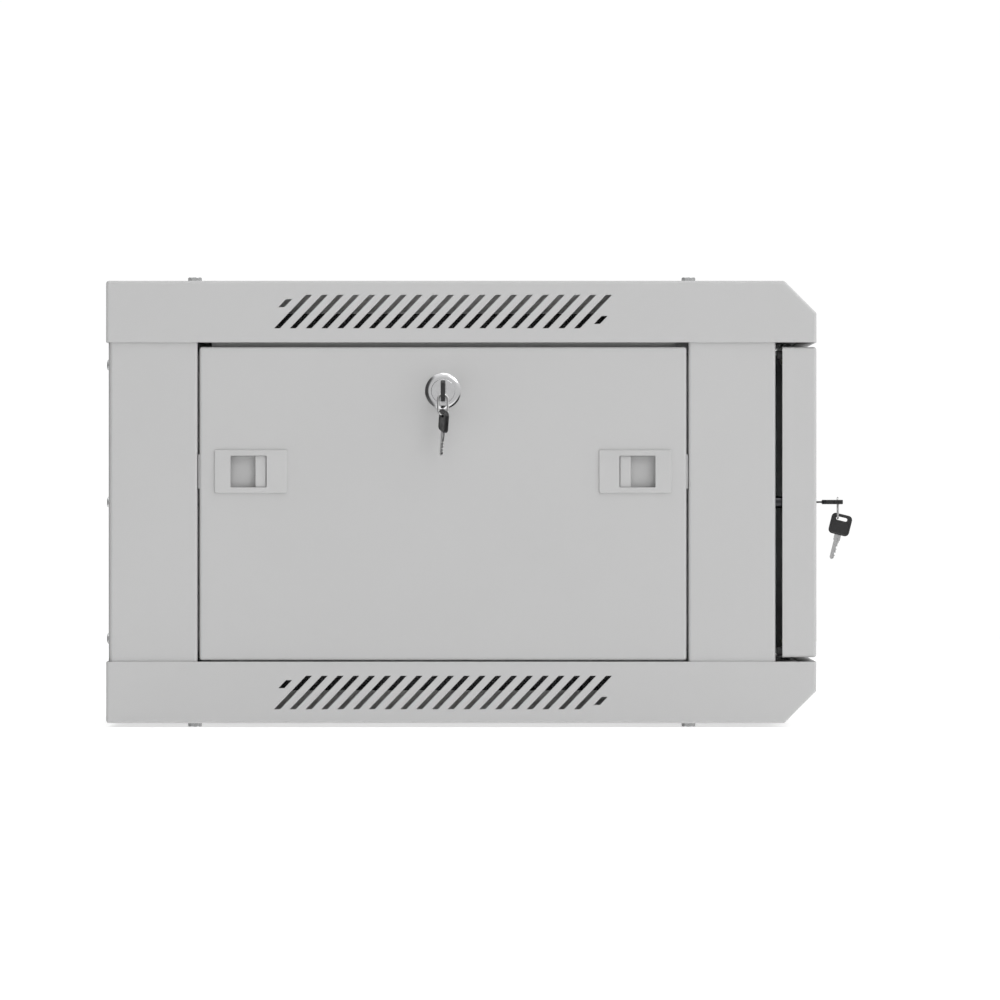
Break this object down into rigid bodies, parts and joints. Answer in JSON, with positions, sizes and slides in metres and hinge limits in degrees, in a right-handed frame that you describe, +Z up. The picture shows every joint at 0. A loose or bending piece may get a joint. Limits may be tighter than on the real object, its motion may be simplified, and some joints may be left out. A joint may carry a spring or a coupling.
{
  "type": "network server rack cabinet",
  "caption": "Wall-mount 19 inch network cabinet with slanted-corner covers, glazed locking front door, lift-off locking side panels and rack rails.",
  "frame": {"origin": "under the middle of the whole object's box, on the plane of the lower cover bolts' heads, which it stands on", "axes": "+X to the right seen from the front, +Y to the rear (the wall), +Z up; the front door faces -Y"},
  "size_m": [0.6602, 0.6247, 0.3766],
  "materials": {
    "powder_coat": "light grey powder coat, fine texture, satin",
    "inner_paint": "light grey powder coat, satin",
    "zinc_rail": "zinc-plated steel, satin",
    "zinc_hardware": "zinc-plated steel, semi-bright",
    "lock_chrome": "bright chrome plate",
    "key_plastic": "black moulded bow, nickel-plated blade",
    "glass": "clear toughened glass, polished edges",
    "black_rubber": "matt black rubber",
    "filter_foam": "black open-cell filter foam",
    "nylon": "natural nylon",
    "latch_plastic": "light grey moulded plastic, fine grain"
  },
  "bodies": {
    "cabinet": {"top_cover": "powder_coat", "bottom_cover": "powder_coat", "post_front_left": "powder_coat", "post_front_right": "powder_coat", "post_rear_left": "powder_coat", "post_rear_right": "powder_coat", "rear_panel": "powder_coat", "cover_cable_plates": "powder_coat", "rear_cable_plate": "powder_coat", "brace_lower_left": "inner_paint", "brace_lower_right": "inner_paint", "brace_upper_left": "inner_paint", "brace_upper_right": "inner_paint", "rail_front_left": "zinc_rail", "rail_front_right": "zinc_rail", "rail_rear_left": "zinc_rail", "rail_rear_right": "zinc_rail", "vent_filters": "filter_foam", "cover_bolts": "zinc_hardware", "cover_bolt_nuts": "zinc_hardware", "rear_panel_screws": "zinc_hardware", "rail_screws": "zinc_hardware", "earth_stud": "zinc_hardware", "hinge_brackets": "zinc_hardware", "hinge_pins": "zinc_hardware"},
    "front_door": {"door_frame": "powder_coat", "door_glass": "glass", "glass_gasket": "black_rubber", "glass_clips": "zinc_hardware", "door_bumpers": "black_rubber", "hinge_bushes": "nylon", "door_lock_body": "lock_chrome", "door_lock_nut": "zinc_hardware"},
    "door_lock": {"door_lock_plug": "lock_chrome", "door_lock_cam": "zinc_hardware", "door_key": "key_plastic"},
    "door_ring": {"door_key_ring": "lock_chrome"},
    "door_spare": {"door_spare_key": "key_plastic"},
    "left_panel": {"left_panel": "powder_coat", "left_latch_housings": "latch_plastic", "left_lock_body": "lock_chrome", "left_lock_nut": "zinc_hardware"},
    "left_lock": {"left_lock_plug": "lock_chrome", "left_lock_cam": "zinc_hardware", "left_key": "key_plastic"},
    "left_ring": {"left_key_ring": "lock_chrome"},
    "left_spare": {"left_spare_key": "key_plastic"},
    "left_latch_front": {"left_latch_front": "latch_plastic"},
    "left_latch_rear": {"left_latch_rear": "latch_plastic"},
    "right_panel": {"right_panel": "powder_coat", "right_latch_housings": "latch_plastic", "right_lock_body": "lock_chrome", "right_lock_nut": "zinc_hardware"},
    "right_lock": {"right_lock_plug": "lock_chrome", "right_lock_cam": "zinc_hardware", "right_key": "key_plastic"},
    "right_ring": {"right_key_ring": "lock_chrome"},
    "right_spare": {"right_spare_key": "key_plastic"},
    "right_latch_front": {"right_latch_front": "latch_plastic"},
    "right_latch_rear": {"right_latch_rear": "latch_plastic"}
  },
  "joints": [
    {"name": "door_hinge", "type": "hinge", "parent": "cabinet", "child": "front_door", "pos_m": [0.285, -0.268, 0.1883], "axis": [0, 0, 1], "range_deg": [0, 120]},
    {"name": "door_lock_turn", "type": "hinge", "parent": "front_door", "child": "door_lock", "pos_m": [-0.273, -0.282, 0.1883], "axis": [0, -1, 0], "range_deg": [0, 90]},
    {"name": "door_ring_swing", "type": "hinge", "parent": "door_lock", "child": "door_ring", "pos_m": [-0.2662, -0.3006, 0.1883], "axis": [0, 1, 0], "range_deg": [-10, 10]},
    {"name": "door_spare_swing", "type": "hinge", "parent": "door_ring", "child": "door_spare", "pos_m": [-0.2662, -0.3006, 0.1749], "axis": [1, 0, 0], "range_deg": [-40, 12]},
    {"name": "left_panel_slide", "type": "slide", "parent": "cabinet", "child": "left_panel", "axis": [-1, 0, 0], "range_m": [0, 0.12]},
    {"name": "left_lock_turn", "type": "hinge", "parent": "left_panel", "child": "left_lock", "pos_m": [-0.2983, 0.03025, 0.2811], "axis": [-1, 0, 0], "range_deg": [0, 90]},
    {"name": "left_ring_swing", "type": "hinge", "parent": "left_lock", "child": "left_ring", "pos_m": [-0.3182, 0.03025, 0.2743], "axis": [-0.989, -0.1478, 0], "range_deg": [-10, 10]},
    {"name": "left_spare_swing", "type": "hinge", "parent": "left_ring", "child": "left_spare", "pos_m": [-0.3182, 0.03025, 0.2614], "axis": [0.2924, -0.9563, 0], "range_deg": [-40, 15]},
    {"name": "left_latch_front_slide", "type": "slide", "parent": "left_panel", "child": "left_latch_front", "axis": [0, -1, 0], "range_m": [-0.003, 0.005], "stiffness_N_per_m": 300},
    {"name": "left_latch_rear_slide", "type": "slide", "parent": "left_panel", "child": "left_latch_rear", "axis": [0, 1, 0], "range_m": [-0.003, 0.005], "stiffness_N_per_m": 300},
    {"name": "right_panel_slide", "type": "slide", "parent": "cabinet", "child": "right_panel", "axis": [1, 0, 0], "range_m": [0, 0.12]},
    {"name": "right_lock_turn", "type": "hinge", "parent": "right_panel", "child": "right_lock", "pos_m": [0.2983, 0.03025, 0.2811], "axis": [-1, 0, 0], "range_deg": [0, 90]},
    {"name": "right_ring_swing", "type": "hinge", "parent": "right_lock", "child": "right_ring", "pos_m": [0.3182, 0.03025, 0.2743], "axis": [0.989, -0.1478, 0], "range_deg": [-10, 10]},
    {"name": "right_spare_swing", "type": "hinge", "parent": "right_ring", "child": "right_spare", "pos_m": [0.3182, 0.03025, 0.2614], "axis": [0.2924, 0.9563, 0], "range_deg": [-40, 15]},
    {"name": "right_latch_front_slide", "type": "slide", "parent": "right_panel", "child": "right_latch_front", "axis": [0, -1, 0], "range_m": [-0.003, 0.005], "stiffness_N_per_m": 300},
    {"name": "right_latch_rear_slide", "type": "slide", "parent": "right_panel", "child": "right_latch_rear", "axis": [0, 1, 0], "range_m": [-0.003, 0.005], "stiffness_N_per_m": 300}
  ]
}
